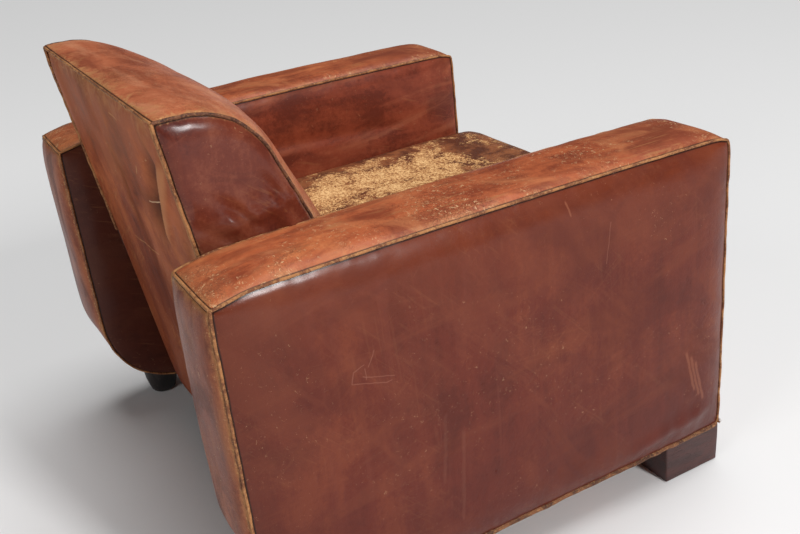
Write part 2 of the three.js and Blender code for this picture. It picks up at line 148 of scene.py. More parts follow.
class Finish:
    """A material under construction. Object coordinates are in metres."""

    def __init__(self, name):
        self.material = bpy.data.materials.new(name)
        self.material.use_nodes = True
        self.tree = self.material.node_tree
        self.shader = self.tree.nodes["Principled BSDF"]
        self.place = self.node("ShaderNodeTexCoord", out="Object")

    def node(self, kind, settings=None, inputs=None, out=0):
        made = self.tree.nodes.new(kind)
        for key, value in (settings or {}).items():
            if key == "stops":
                self.set_stops(made.color_ramp, value)
            else:
                setattr(made, key, value)
        for key, value in (inputs or {}).items():
            self.feed(made.inputs[key], value)
        return made if out is None else Wire(self, made.outputs[out])

    def set_stops(self, ramp, stops):
        for _ in stops[2:]:
            ramp.elements.new(1)
        for element, (position, color) in zip(ramp.elements, stops):
            element.position, element.color = position, (*color, 1)

    def feed(self, socket, value):
        if isinstance(value, Wire):
            self.tree.links.new(value.socket, socket)
        else:
            socket.default_value = value

    def attribute(self, name):
        return self.node("ShaderNodeAttribute", {"attribute_name": name}, out="Fac")

    def stretched(self, scale, turn=(0, 0, 0)):
        """Object coordinates turned and then scaled by a different amount each way."""
        turned = self.node("ShaderNodeMapping", {}, {"Vector": self.place, "Rotation": turn})
        return self.node("ShaderNodeMapping", {}, {"Vector": turned, "Scale": scale})

    def noise(self, scale, detail=4, rough=0.55, distort=0, place=None):
        inputs = {"Vector": place or self.place, "Scale": scale, "Detail": detail}
        inputs |= {"Roughness": rough, "Distortion": distort}
        return self.node("ShaderNodeTexNoise", {}, inputs)

    def cells(self, scale, feature="DISTANCE_TO_EDGE", place=None):
        inputs = {"Vector": place or self.place, "Scale": scale}
        return self.node("ShaderNodeTexVoronoi", {"feature": feature}, inputs, "Distance")

    def wobbled(self, amount, scale):
        """Object coordinates pushed about by noise, to bend straight patterns."""
        push = self.node("ShaderNodeTexNoise", {}, {"Vector": self.place, "Scale": scale}, "Color")
        centred = self.node(
            "ShaderNodeVectorMath", {"operation": "SUBTRACT"}, {0: push, 1: (0.5, 0.5, 0.5)}
        )
        inputs = {0: centred, 1: (amount, amount, amount), 2: self.place}
        return self.node("ShaderNodeVectorMath", {"operation": "MULTIPLY_ADD"}, inputs)

    def mix(self, amount, first, second):
        """first where amount is 0, second where it is 1. Colours are (r, g, b) or wires."""
        inputs = {"Factor": amount, 6: whole(first), 7: whole(second)}
        return self.node("ShaderNodeMix", {"data_type": "RGBA"}, inputs, 2)

    def ramp(self, value, stops):
        return self.node("ShaderNodeValToRGB", {"stops": stops}, {"Fac": value})

    def bump(self, height, depth):
        inputs = {"Height": height, "Distance": depth, "Strength": 1.0}
        return self.node("ShaderNodeBump", {}, inputs)

    def surface(self, color, roughness, normal=None, **fixed):
        self.feed(self.shader.inputs["Base Color"], color)
        self.feed(self.shader.inputs["Roughness"], roughness)
        if normal is not None:
            self.feed(self.shader.inputs["Normal"], normal)
        for key, value in fixed.items():
            self.shader.inputs[key.replace("_", " ")].default_value = value

    def cover(self, *objects):
        for obj in objects:
            obj.data.materials.clear()
            obj.data.materials.append(self.material)


def whole(color):
    return (*color, 1) if isinstance(color, tuple) else color


# Colours in linear light.
TAN = (0.40, 0.17, 0.065)
GOLD = (0.56, 0.30, 0.12)
PALE = (0.62, 0.42, 0.26)
# Near black: soot in the cracks and on the piping, and the painted shade in the seams.
SOOT_AND_SEAM_SHADE = (0.018, 0.008, 0.006)


class Hide:
    """Aged aniline leather, built up in layers: dye, wear, marks and some painted shade and highlight, then
    its surface.
    """

    def __init__(self, name, deep, mid, light, brushed=(24, 24, 4), turn=(0, 0, 0)):
        f = self.f = Finish(name)
        self.gap = f.attribute("seam_gap")
        self.patches = f.noise(8, 5, 0.7, 0.5)
        blotches = f.noise(15, 5, 0.65, 0.5)
        streaks = f.noise(1, 4, 0.6, 0.3, f.stretched(brushed, turn))
        specks = f.noise(120, 7, 0.85, 0.3)
        mottle = f.noise(3.2, 5, 0.6, 0.4) * 0.42 + blotches * 0.26 + streaks * 0.32
        mottle = mottle + (specks - 0.5) * 0.22
        color = f.mix(mottle.span(0.41, 0.51), deep, mid)
        self.color = f.mix(mottle.span(0.50, 0.60), color, light)
        fine = f.noise(650, 3, 0.65)
        grain = f.cells(430, "F1") * 0.10 + fine * 0.12 + f.noise(48, 4, 0.6, 0.6) * 0.5
        self.height = grain + blotches * 0.9 + streaks * 0.25 + specks * 0.25
        self.rough = blotches * 0.16 + fine * 0.10 + (specks - 0.5) * 0.3

    def tint(self, mask, color):
        self.color = self.f.mix(mask, self.color, color)

    def rub_edges(self, strength, reach=0.004):
        """Dye rubbed off in broken tan patches along the seams, and the shade in the seam."""
        ragged = self.f.noise(75, 5, 0.75) * 0.007 + self.patches * 0.010
        rub = (self.gap - ragged - reach).span(-0.002, -0.009) * self.patches.span(0.42, 0.58)
        self.tint(rub * strength, TAN)
        flakes = self.f.noise(240, 4, 0.7).span(0.56, 0.60) * (self.gap - reach).span(0.007, 0.002)
        self.tint(flakes * strength, GOLD)
        # Painted shade: a dark line in the seam, beside the piping.
        self.tint(self.gap.span(0.0046, 0.0026) * 0.9, SOOT_AND_SEAM_SHADE)
        self.rough = self.rough + rub * 0.2

    def fleck(self, strength, more=0.0):
        """Small chips where the finish has gone."""
        chips = self.f.noise(150, 5, 0.8, 0.8).span(0.635 - more, 0.655 - more)
        chips = chips * self.f.noise(8, 3, 0.6).span(0.42, 0.58)
        self.tint(chips * strength * 0.9, (0.62, 0.38, 0.20))

    def bare_edges(self, strength, reach, color):
        """Wide uneven wear where hands and walls rub the corners."""
        near = self.gap.span(reach, 0.0)
        uneven = self.patches * 0.35 + self.f.noise(34, 6, 0.8, 0.8) * 0.65
        worn = (uneven + near * 0.09).span(0.52, 0.66)
        self.tint(worn * near * strength, color)

    def smear(self, scale, strength, color, turn=(0, 0, 0)):
        """Broad soft strokes where hands, cloths and wax have gone over the hide."""
        stroke = self.f.noise(1, 5, 0.62, 0.9, self.f.stretched(scale, turn)).span(0.48, 0.66)
        self.tint(stroke * strength, color)
        self.rough = self.rough + stroke * 0.12

    def craze(self, strength):
        """A net of short cracks, strongest in the dried patches."""
        net = self.f.cells(210, place=self.f.wobbled(0.012, 60)).span(0.10, 0.0)
        net = net * self.patches.span(0.44, 0.62) * strength
        self.color = self.f.mix(net * 0.55, self.color, SOOT_AND_SEAM_SHADE)
        self.height = self.height - net * 0.25
        self.rough = self.rough + net * 0.2

    def scuff(self, turn, strength):
        """Many fine parallel rubs in one direction."""
        lines = self.f.noise(1, 3, 0.6, 0.2, self.f.stretched((170, 170, 9), turn))
        mask = lines.span(0.58, 0.66) * self.f.noise(7, 4, 0.6).span(0.46, 0.62)
        self.tint(mask * strength, TAN)

    def mark(self, points, width, strength, plane=(1, 2), color=PALE):
        """A scratch through points, in metres, in the plane of the panel; also used for streaks of painted
        shade and highlight.
        """
        f = self.f
        bent = f.wobbled(0.005, 45)
        split = f.node("ShaderNodeSeparateXYZ", {}, {0: bent}, out=None)
        a, b = (Wire(f, split.outputs[i]) for i in plane)
        for (a0, b0), (a1, b1) in zip(points, points[1:]):
            length = math.hypot(a1 - a0, b1 - b0)
            ua, ub = (a1 - a0) / length, (b1 - b0) / length
            along = (a - a0) * ua + (b - b0) * ub
            aside = ((a - a0) * ub - (b - b0) * ua).math("ABSOLUTE")
            inside = along.span(-width, width) * along.span(length + width, length - width)
            line = aside.span(width, width * 0.2) * inside
            self.tint(line * self.side * strength, color)

    def on_side(self, low, high, axis=0):
        """Limits the marks that follow to the side that lies past high, fading in from low."""
        split = self.f.node("ShaderNodeSeparateXYZ", {}, {0: self.f.place}, out=None)
        self.side = Wire(self.f, split.outputs[axis]).span(low, high)

    def shade(self, low, high, axis, strength, color):
        """A tint over one side of the hide."""
        self.on_side(low, high, axis)
        self.tint(self.side * strength, color)

    def done(self, gloss, specular, wax=0.0):
        """Ends the layers. gloss 0 is dry suede, 1 is freshly waxed; wax is a clear top coat."""
        rough = self.rough + (0.62 - 0.5 * gloss)
        normal = self.f.bump(self.height, 0.0010)
        self.f.surface(
            self.color, rough, normal, Specular_IOR_Level=specular, Coat_Weight=wax, Coat_Roughness=0.20
        )
        return self.f


def outer_arm_hide():
    hide = Hide("outer_arm_leather", (0.088, 0.012, 0.005), (0.118, 0.017, 0.007), (0.160, 0.030, 0.011))
    hide.shade(0.40, 0.56, 2, 0.5, (0.175, 0.036, 0.012))
    hide.smear((5, 2.6, 15), 0.35, (0.18, 0.042, 0.017), (0.18, 0, 0))
    hide.smear((30, 34, 2.6), 0.30, (0.155, 0.034, 0.018))
    hide.smear((4, 5, 7), 0.45, (0.078, 0.011, 0.005))
    hide.smear((9, 14, 5), 0.30, (0.190, 0.046, 0.020), (0.7, 0, 0))
    hide.shade(0.28, 0.44, 1, 0.35, (0.090, 0.022, 0.012))
    hide.shade(0.30, 0.10, 2, 0.45, (0.080, 0.007, 0.002))
    hide.shade(-0.32, -0.42, 1, 0.50, (0.075, 0.009, 0.004))
    hide.rub_edges(0.10, -0.006)
    hide.scuff((0.06, 0, 0), 0.035)
    hide.scuff((1.45, 0, 0), 0.03)
    hide.scuff((0.75, 0, 0), 0.05)
    hide.scuff((-0.9, 0, 0), 0.04)
    hide.fleck(0.35)
    hide.on_side(-0.40, -0.42)
    scratched, scuffed = (0.26, 0.10, 0.06), (0.30, 0.10, 0.05)
    step, corner = 0.005, (0.215, 0.390)
    scrawl = (
        ((12, 3), (11, 6), (8, 7)), ((8, 3), (8, 6)), ((9, 4), (6, 3), (0, 1)),
        ((12, 3), (8, 2), (3, 0), (1, 0)), ((7, 6), (5, 10)),
    )
    for stroke in scrawl:
        points = [(corner[0] + across * step, corner[1] + up * step) for across, up in stroke]
        hide.mark(points, 0.0011, 0.42, color=scratched)
    hide.mark(((0.125, 0.275), (0.135, 0.130)), 0.0040, 0.12, color=scratched)
    hide.mark(((0.150, 0.310), (0.160, 0.205)), 0.0040, 0.10, color=scratched)
    hide.mark(((-0.130, 0.500), (-0.120, 0.440)), 0.0011, 0.35, color=scratched)
    hide.mark(((-0.060, 0.545), (-0.065, 0.525)), 0.0020, 0.5, color=scuffed)
    for number in range(3):
        top = (-0.270 - 0.010 * number, 0.245 - 0.012 * number)
        hide.mark((top, (top[0] - 0.020, top[1] - 0.075)), 0.0040, 0.38, color=scuffed)
    return hide.done(0.85, 0.10, 0.32)


def inner_arm_hide():
    hide = Hide("inner_arm_leather", (0.13, 0.024, 0.012), (0.24, 0.048, 0.022), (0.32, 0.080, 0.036),
                (4, 4, 22))
    hide.smear((5, 3, 18), 0.5, (0.34, 0.105, 0.05), (0.1, 0, 0))
    hide.smear((5, 4, 10), 0.6, (0.10, 0.018, 0.009))
    # Painted shade: the inner hide is darker towards the rear, where it lies behind the back between the
    # arms.
    hide.shade(0.12, 0.26, 1, 0.8, (0.040, 0.012, 0.008))
    hide.rub_edges(0.4, -0.003)
    hide.scuff((1.2, 0, 0), 0.16)
    hide.fleck(0.3)
    return hide.done(0.74, 0.12, 0.12)


def arm_top_hide():
    hide = Hide("arm_top_leather", (0.24, 0.050, 0.020), (0.42, 0.104, 0.038), (0.56, 0.175, 0.064),
                (24, 5, 24))
    hide.shade(-0.10, -0.30, 1, 0.75, (0.22, 0.050, 0.024))
    hide.smear((22, 6, 22), 0.6, (0.170, 0.036, 0.015))
    hide.smear((16, 9, 16), 0.5, (0.50, 0.175, 0.070), (0, 0, 0.5))
    hide.on_side(0.22, 0.42, 1)
    hide.tint(hide.side * hide.patches.span(0.45, 0.6) * 0.35, (0.44, 0.16, 0.07))
    hide.bare_edges(0.8, 0.020, (0.50, 0.210, 0.085))
    hide.rub_edges(0.45, -0.004)
    hide.scuff((math.pi / 2, 0, 0), 0.55)
    hide.scuff((math.pi / 2, 0, 1.1), 0.40)
    hide.craze(0.8)
    hide.fleck(1.0, 0.045)
    return hide.done(0.62, 0.16, 0.10)


def arm_rear_hide():
    hide = Hide("arm_rear_leather", (0.12, 0.023, 0.011), (0.22, 0.052, 0.022), (0.34, 0.098, 0.040))
    hide.smear((20, 20, 4), 0.6, (0.36, 0.135, 0.06))
    hide.smear((14, 14, 6), 0.5, (0.07, 0.014, 0.008))
    hide.bare_edges(0.7, 0.022, (0.46, 0.190, 0.075))
    hide.rub_edges(0.9, 0.002)
    hide.scuff((0.1, 0, 0), 0.4)
    hide.craze(0.4)
    hide.fleck(0.7)
    return hide.done(0.70, 0.06, 0.22)


def back_top_hide():
    hide = Hide("back_top_leather", (0.29, 0.070, 0.029), (0.45, 0.125, 0.054), (0.58, 0.205, 0.098),
                (5, 20, 20))
    hide.smear((4, 16, 16), 0.5, (0.20, 0.046, 0.021), (0, 0, 0.12))
    hide.smear((5, 18, 18), 0.45, (0.52, 0.225, 0.12), (0, 0, -0.15))
    hide.bare_edges(0.8, 0.050, (0.52, 0.235, 0.095))
    hide.rub_edges(0.9, 0.003)
    hide.scuff((0, math.pi / 2, 0.3), 0.3)
    hide.scuff((0, 1.1, 0), 0.2)
    hide.craze(0.5)
    hide.fleck(0.6)
    return hide.done(0.66, 0.14, 0.12)


def back_rear_hide():
    hide = Hide("back_rear_leather", (0.09, 0.019, 0.008), (0.26, 0.056, 0.021), (0.44, 0.122, 0.045),
                (9, 9, 3.5), (0, 0.16, 0))
    hide.shade(0.50, 0.70, 2, 0.50, (0.42, 0.125, 0.046))
    hide.smear((5, 5, 3.0), 0.40, (0.46, 0.170, 0.065), (0, 0.25, 0))
    hide.smear((4, 4, 2.6), 0.45, (0.095, 0.024, 0.012), (0, 0.35, 0))
    hide.bare_edges(0.7, 0.060, (0.48, 0.205, 0.080))
    hide.shade(0.54, 0.36, 2, 0.60, (0.125, 0.026, 0.014))
    hide.rub_edges(0.9, 0.003)
    hide.scuff((0, 0.2, 0), 0.6)
    hide.scuff((0, 0.9, 0), 0.4)
    hide.fleck(0.6)
    hide.side = 1.0  # the marks that follow lie on this hide alone
    # Painted shade: a dark streak in the dent of the rear panel.
    shade = ((-0.215, 0.660), (-0.165, 0.590), (-0.115, 0.535))
    hide.mark(shade, 0.042, 0.86, (0, 2), (0.028, 0.008, 0.005))
    # Painted highlight: a bright streak along the ridge beside the dent.
    ridge = ((-0.260, 0.665), (-0.205, 0.590), (-0.165, 0.535))
    hide.mark(ridge, 0.013, 0.8, (0, 2), (0.50, 0.21, 0.09))
    hide.mark(((-0.110, 0.575), (-0.150, 0.580), (-0.195, 0.600)), 0.0016, 0.9, (0, 2))
    hide.mark(((-0.120, 0.630), (-0.105, 0.615)), 0.0018, 0.7, (0, 2), GOLD)
    hide.mark(((0.100, 0.450), (0.010, 0.460), (-0.050, 0.470)), 0.0016, 0.5, (0, 2), GOLD)
    hide.mark(((-0.065, 0.695), (-0.100, 0.690)), 0.0016, 0.6, (0, 2), GOLD)
    return hide.done(0.40, 0.03, 0.04)


def gusset_hide():
    hide = Hide("gusset_leather", (0.070, 0.012, 0.008), (0.135, 0.026, 0.013), (0.20, 0.052, 0.026))
    hide.smear((6, 8, 8), 0.6, (0.075, 0.013, 0.008))
    hide.smear((6, 6, 22), 0.35, (0.22, 0.07, 0.038), (0.35, 0, 0))
    hide.rub_edges(0.5, 0.0)
    hide.scuff((0.9, 0, 0), 0.18)
    hide.fleck(0.35)
    return hide.done(0.80, 0.10, 0.35)


def apron_hide():
    hide = Hide("apron_leather", (0.08, 0.021, 0.014), (0.14, 0.038, 0.023), (0.21, 0.065, 0.035))
    hide.rub_edges(0.5, 0.0)
    hide.fleck(0.4)
    return hide.done(0.6, 0.2)


def seat_hide():
    """The grain is worn off over most of the seat, down to a golden suede with dark flecks."""
    f = Finish("worn_seat_leather")
    gap = f.attribute("edge_gap")
    patch = f.noise(6, 6, 0.72, 0.9) * 0.55 + f.noise(20, 5, 0.7, 0.5) * 0.45
    wear = patch * 2.7 + gap.span(0.0, 0.16) * 0.34 - 1.23
    speck = f.noise(210, 6, 0.8, 0.3)
    fine = f.noise(700, 4, 0.7)
    tone = (speck - 0.5) * 1.7 + (fine - 0.5) * 0.8 + wear * 0.55
    suede = f.ramp(tone + 0.42, [
        (0.43, (0.065, 0.019, 0.009)), (0.54, (0.27, 0.098, 0.032)),
        (0.67, (0.54, 0.245, 0.080)), (0.82, (0.92, 0.575, 0.26)),
    ])
    grain = f.mix(f.noise(26, 5, 0.6).span(0.4, 0.62), (0.11, 0.030, 0.012), (0.30, 0.100, 0.036))
    islands = (wear * 0.9 + speck * 0.55).span(0.53, 0.68)
    color = f.mix(islands, grain, suede)
    # Painted shade: a dark line along the seat's seams at its sides and rear, where it meets the arms and
    # the back.
    color = f.mix(f.attribute("seam_gap").span(0.006, 0.002) * 0.8, color, SOOT_AND_SEAM_SHADE)
    height = speck * 0.9 + fine * 0.3 - islands * 0.4
    f.surface(color, 0.40 + islands * 0.45, f.bump(height, 0.0012), Specular_IOR_Level=0.35)
    return f


def piping_leather(name, core, ridge, frayed=0.5):
    f = Finish(name)
    patch = f.noise(34, 5, 0.7, 0.5)
    color = f.mix(patch.span(0.42, 0.58), core, ridge)
    color = f.mix(f.noise(300, 4, 0.7).span(0.50, 0.62) * frayed, color, GOLD)
    color = f.mix(f.noise(60, 5, 0.75).span(0.58, 0.72) * 0.30, color, SOOT_AND_SEAM_SHADE)
    height = f.noise(420, 4, 0.7) + f.noise(140, 4, 0.7)
    f.surface(color, 0.5 + patch * 0.3, f.bump(height, 0.0009), Specular_IOR_Level=0.3)
    return f


def stained_wood():
    """Dark stained block feet: straight grain along Y, rubbed patches, dust in the pores."""
    f = Finish("stained_mahogany")
    figure = f.noise(1, 5, 0.6, 0.6, f.stretched((70, 9, 70)))
    pores = f.noise(1, 3, 0.6, 0.1, f.stretched((700, 45, 700))).span(0.58, 0.68)
    color = f.mix(figure.span(0.30, 0.70), (0.034, 0.0085, 0.0070), (0.070, 0.0180, 0.0140))
    color = f.mix(pores * 0.6, color, (0.006, 0.003, 0.003))
    color = f.mix(f.noise(34, 5, 0.7).span(0.63, 0.72) * 0.5, color, (0.16, 0.10, 0.08))
    f.surface(color, 0.30 + figure * 0.22, f.bump(pores * -1 + figure * 0.4, 0.0005))
    return f


def blackened_wood():
    f = Finish("blackened_foot_wood")
    figure = f.noise(1, 5, 0.6, 0.6, f.stretched((60, 60, 9)))
    color = f.mix(figure.span(0.36, 0.66), (0.008, 0.006, 0.006), (0.03, 0.022, 0.02))
    scuffs = f.noise(90, 5, 0.7).span(0.62, 0.70)
    color = f.mix(scuffs * 0.5, color, (0.13, 0.10, 0.085))
    f.surface(color, 0.4 + figure * 0.2, f.bump(figure, 0.0006))
    return f


def sawn_beech():
    f = Finish("sawn_beech")
    rings = f.noise(1, 5, 0.6, 1.2, f.stretched((46, 7, 46)))
    flecks = f.noise(1, 2, 0.5, 0, f.stretched((520, 80, 520))).span(0.62, 0.70)
    color = f.mix(rings.span(0.35, 0.65), (0.52, 0.34, 0.18), (0.66, 0.47, 0.28))
    color = f.mix(flecks * 0.6, color, (0.36, 0.20, 0.10))
    f.surface(color, 0.68 + rings * 0.12, f.bump(rings + flecks, 0.0006))
    return f


def woven_cloth(name, light, dark, threads):
    """A plain weave: two crossed sets of threads."""
    f = Finish(name)
    warp = f.node("ShaderNodeTexWave", {"bands_direction": "X"}, {"Vector": f.place, "Scale": threads})
    weft = f.node("ShaderNodeTexWave", {"bands_direction": "Y"}, {"Vector": f.place, "Scale": threads})
    over = warp.math("MAXIMUM", weft)
    color = f.mix(over * 0.7 + f.noise(30, 4) * 0.3, dark, light)
    f.surface(color, 0.85 + f.noise(60, 3) * 0.1, f.bump(over, 0.0004))
    return f


def spring_wire():
    f = Finish("dulled_spring_wire")
    rust = f.noise(130, 5, 0.7).span(0.5, 0.62)
    color = f.mix(rust, (0.42, 0.36, 0.30), (0.20, 0.09, 0.045))
    f.surface(color, 0.36 + rust * 0.4, f.bump(rust, 0.0002), Metallic=0.8)
    return f


# ---------------------------------------------------------------- modelling helpers


def only(obj):
    bpy.ops.object.select_all(action="DESELECT")
    obj.select_set(True)
    bpy.context.view_layer.objects.active = obj
    return obj


def editing(obj, mode="FACE"):
    only(obj)
    bpy.ops.object.mode_set(mode="EDIT")
    bpy.ops.mesh.select_mode(type=mode)


def done_editing():
    bpy.ops.object.mode_set(mode="OBJECT")


def flip(obj):
    editing(obj)
    bpy.ops.mesh.select_all(action="SELECT")
    bpy.ops.mesh.flip_normals()
    done_editing()


def named(name):
    """Names the object that was just added, and its mesh."""
    piece = bpy.context.object
    piece.name = piece.data.name = name
    return piece


def add_grid(name, columns, rows):
    """A flat grid one unit wide, whose vertices are then put in their places."""
    bpy.ops.object.select_all(action="DESELECT")
    bpy.ops.mesh.primitive_grid_add(x_subdivisions=columns, y_subdivisions=rows, size=1)
    return named(name)


def settle(obj):
    """Moves the object's place, turn and size into its mesh."""
    only(obj)
    bpy.ops.object.transform_apply(location=True, rotation=True, scale=True)
    return obj


def apply(obj, kind, **settings):
    only(obj)
    modifier = obj.modifiers.new(kind.lower(), kind)
    for key, value in settings.items():
        setattr(modifier, key, value)
    bpy.ops.object.modifier_apply(modifier=modifier.name)


def smooth_step(value, low, high):
    t = min(max((value - low) / (high - low), 0), 1)
    return t * t * (3 - 2 * t)


def cut_block(name, low, high, cell):
    """An evenly cut block: a grid for its low X side, drawn out along X a cell at a time."""
    low, high = Vector(low), Vector(high)
    size = high - low
    across, along, tall = (max(2, round(side / cell)) for side in size)
    block = add_grid(name, tall, along)
    block.rotation_euler = (0, math.pi / 2, 0)
    block.scale = (size.z, size.y, 1)
    block.location = (low.x, (low.y + high.y) / 2, (low.z + high.z) / 2)
    settle(block)
    editing(block)
    bpy.ops.mesh.select_all(action="SELECT")
    step = {"value": (size.x / across, 0, 0)}
    for _ in range(across):
        bpy.ops.mesh.extrude_region_move(TRANSFORM_OT_translate=step)
    bpy.ops.mesh.select_all(action="SELECT")
    bpy.ops.mesh.normals_make_consistent(inside=False)
    done_editing()
    return block


def round_corner(a, b, radius):
    """Maps the square at a block's corner to a quarter disc. a and b are distances to its sides."""
    if a >= radius or b >= radius:
        return a, b
    u, v = 1 - a / radius, 1 - b / radius
    p, q = u * math.sqrt(1 - v * v / 2), v * math.sqrt(1 - u * u / 2)
    return radius * (1 - p), radius * (1 - q)


def mark_panels(block, panel_of):
    """Numbers each face by the panel it belongs to, from its centre and normal."""
    for face in block.data.polygons:
        face.material_index = panel_of(face.center, face.normal)


def seam_edges(mesh):
    """Edges where two panels meet, as {edge key: (panel, panel)}."""
    seen, seams = {}, {}
    for face in mesh.polygons:
        for key in face.edge_keys:
            if seen.setdefault(key, face.material_index) != face.material_index:
                seams[key] = tuple(sorted((seen[key], face.material_index)))
    return seams


def gap_finder(points):
    tree = kdtree.KDTree(len(points))
    for i, point in enumerate(points):
        tree.insert(point, i)
    tree.balance()
    return lambda point: tree.find(point)[2]


def seam_points(mesh):
    return [mesh.vertices[i].co.copy() for i in sorted({i for key in seam_edges(mesh) for i in key})]


def plump(block, swell_of, pressure):
    """Inflates a block with its seams held. swell_of gives each panel's most swell and slack."""
    mesh = block.data
    rest = [vertex.co.copy() for vertex in mesh.vertices]
    held = sorted({i for key in seam_edges(mesh) for i in key})
    panel = {i: face.material_index for face in mesh.polygons for i in face.vertices}
    lifts = [moved - start for moved, start in zip(inflate(block, held, pressure), rest)]
    for i, vertex in enumerate(mesh.vertices):
        most, slack = swell_of(panel[i], rest[i])
        length = lifts[i].length
        if length > 1e-9:
            vertex.co = rest[i] + lifts[i] * (most * math.tanh(length * slack / most) / length)


SIM_FRAMES = 18


def inflate(block, held, pressure):
    """Runs the cloth and returns where each vertex ends."""
    only(block)
    block.vertex_groups.new(name="seams").add(held, 1.0, "REPLACE")
    cloth = block.modifiers.new("plump", "CLOTH")
    cloth.settings.quality = 4
    cloth.settings.mass = 0.25
    cloth.settings.tension_stiffness = 18
    cloth.settings.compression_stiffness = 12
    cloth.settings.bending_stiffness = 1.5
    cloth.settings.vertex_group_mass = "seams"
    cloth.settings.use_pressure = True
    cloth.settings.uniform_pressure_force = pressure
    cloth.settings.effector_weights.gravity = 0
    cloth.collision_settings.use_collision = False
    cloth.point_cache.frame_start, cloth.point_cache.frame_end = 1, SIM_FRAMES
    for number in range(1, SIM_FRAMES + 1):
        bpy.context.scene.frame_set(number)
    shown = block.evaluated_get(bpy.context.evaluated_depsgraph_get())
    moved = [vertex.co.copy() for vertex in shown.data.vertices]
    block.modifiers.remove(cloth)
    block.vertex_groups.clear()
    bpy.context.scene.frame_set(1)
    return moved


def soften(block, sag, pucker, fold_of):
    """Rounds the seams, then adds slow swells, each panel's own folds, and puckers at the seams."""
    apply(block, "SUBSURF", levels=1, render_levels=1)
    mesh = block.data
    gap = gap_finder(seam_points(mesh))
    panel = {i: face.material_index for face in mesh.polygons for i in face.vertices}
    normals = [vertex.normal.copy() for vertex in mesh.vertices]
    for i, (vertex, normal) in enumerate(zip(mesh.vertices, normals)):
        co = vertex.co
        near = math.exp(-gap(co) / 0.020)
        swell = noise.noise(co * 5.5) * 0.65 + noise.noise(co * 13) * 0.35
        tuck = noise.noise(co * 36) * 0.6 + noise.noise(co * 75) * 0.4
        lift = (sag * swell + fold_of(panel[i], co)) * (1 - near) + pucker * tuck * near
        vertex.co = co + normal * lift
    record_gap(mesh, gap)


def crease_line(co, start, end, width, axes=(1, 2)):
    """1 on the line from start to end, fading over width and towards both ends."""
    a, b = co[axes[0]], co[axes[1]]
    run = Vector(end) - Vector(start)
    length = run.length
    away = Vector((a, b)) - Vector(start)
    along = away.dot(run) / length
    aside = (away.x * run.y - away.y * run.x) / length
    ends = smooth_step(along, -0.02, 0.04) * smooth_step(along, length + 0.02, length - 0.04)
    return math.exp(-(aside / width) ** 2) * ends


def record_gap(mesh, gap):
    """Keeps each vertex's distance to the nearest seam, for the wear and the painted shade along the seams.
    """
    layer = mesh.attributes.new("seam_gap", "FLOAT", "POINT")
    layer.data.foreach_set("value", [min(gap(vertex.co), 0.2) for vertex in mesh.vertices])


def separated(block, name):
    """Makes the selected part of the block a piece of its own."""
    bpy.ops.mesh.separate(type="SELECTED")
    done_editing()
    piece = next(obj for obj in bpy.context.selected_objects if obj != block)
    piece.name = piece.data.name = name
    return piece


def lay_piping(block, name, wanted, radius, out, finish, wander=0.0):
    """Cord along the seams between the wanted pairs of panels, standing proud by out."""
    chosen = {key for key, pair in seam_edges(block.data).items() if wanted(pair, block.data, key)}
    editing(block, "EDGE")
    bpy.ops.mesh.select_all(action="DESELECT")
    done_editing()
    for edge in block.data.edges:
        edge.select = edge.key in chosen
    bpy.ops.object.mode_set(mode="EDIT")
    bpy.ops.mesh.duplicate()
    cord = separated(block, name)
    only(cord)
    proud = {tuple(v.co): v.normal for v in block.data.vertices}
    for vertex in cord.data.vertices:
        co = vertex.co.copy()
        lean = proud.get(tuple(co), Vector((0, 0, 0)))
        shake = Vector((noise.noise(co * 60), noise.noise(co * 60 + Vector((9, 0, 0))), 0)) * wander
        vertex.co = co + lean * out + shake
    bpy.ops.object.convert(target="CURVE")
    cord.data.bevel_depth = radius
    cord.data.bevel_resolution = 2
    cord.data.use_fill_caps = True
    for spline in cord.data.splines:
        for point in spline.points:
            point.radius = 1 + 0.14 * noise.noise(Vector(point.co[:3]) * 95)
    bpy.ops.object.convert(target="MESH")
    merge(cord)
    bpy.ops.object.shade_smooth()
    finish.cover(cord)
    return cord


def set_aside(cord, amount):
    """Moves a second cord along X, beside the first."""
    for vertex in cord.data.vertices:
        vertex.co.x += amount


def merge(obj):
    editing(obj, "VERT")
    bpy.ops.mesh.select_all(action="SELECT")
    bpy.ops.mesh.remove_doubles(threshold=1e-5)
    bpy.ops.mesh.normals_make_consistent(inside=False)
    done_editing()


HIDE_THICK = 0.0024
SMOOTH_UNDER = math.radians(50)  # edges sharper than this stay crisp


def thicken(panel, finish, thickness=HIDE_THICK, **more):
    """Gives a panel of leather its thickness, inwards, and its finish."""
    apply(panel, "SOLIDIFY", thickness=thickness, offset=-1, **more)
    bpy.ops.object.shade_smooth_by_angle(angle=SMOOTH_UNDER)
    finish.cover(panel)


def cut_panel(block, number, name, finish):
    """Takes one panel off the block."""
    editing(block)
    bpy.ops.mesh.select_all(action="DESELECT")
    done_editing()
    for face in block.data.polygons:
        face.select = face.material_index == number
    bpy.ops.object.mode_set(mode="EDIT")
    panel = separated(block, name)
    for face in panel.data.polygons:
        face.material_index = 0
    thicken(panel, finish, use_even_offset=True)
    return panel


def dress(piece, slot, *nodes, fill=None):
    """Rides on the chair and stands for its CAD nodes, which it hides; the slot it is given is not used."""
    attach(piece, "root")
    if nodes:
        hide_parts(*nodes)


def mirrored_copy(obj, name):
    """The same piece on the other side of the chair, with its own mesh."""
    only(obj)
    bpy.ops.object.duplicate()
    twin = named(name)
    for vertex in twin.data.vertices:
        vertex.co.x = -vertex.co.x
    flip(twin)
    return twin


# ---------------------------------------------------------------- arms

OUTER, INNER, TOP, REAR = range(4)
SWEEP = 0.14
ARM_CELL = 0.0115


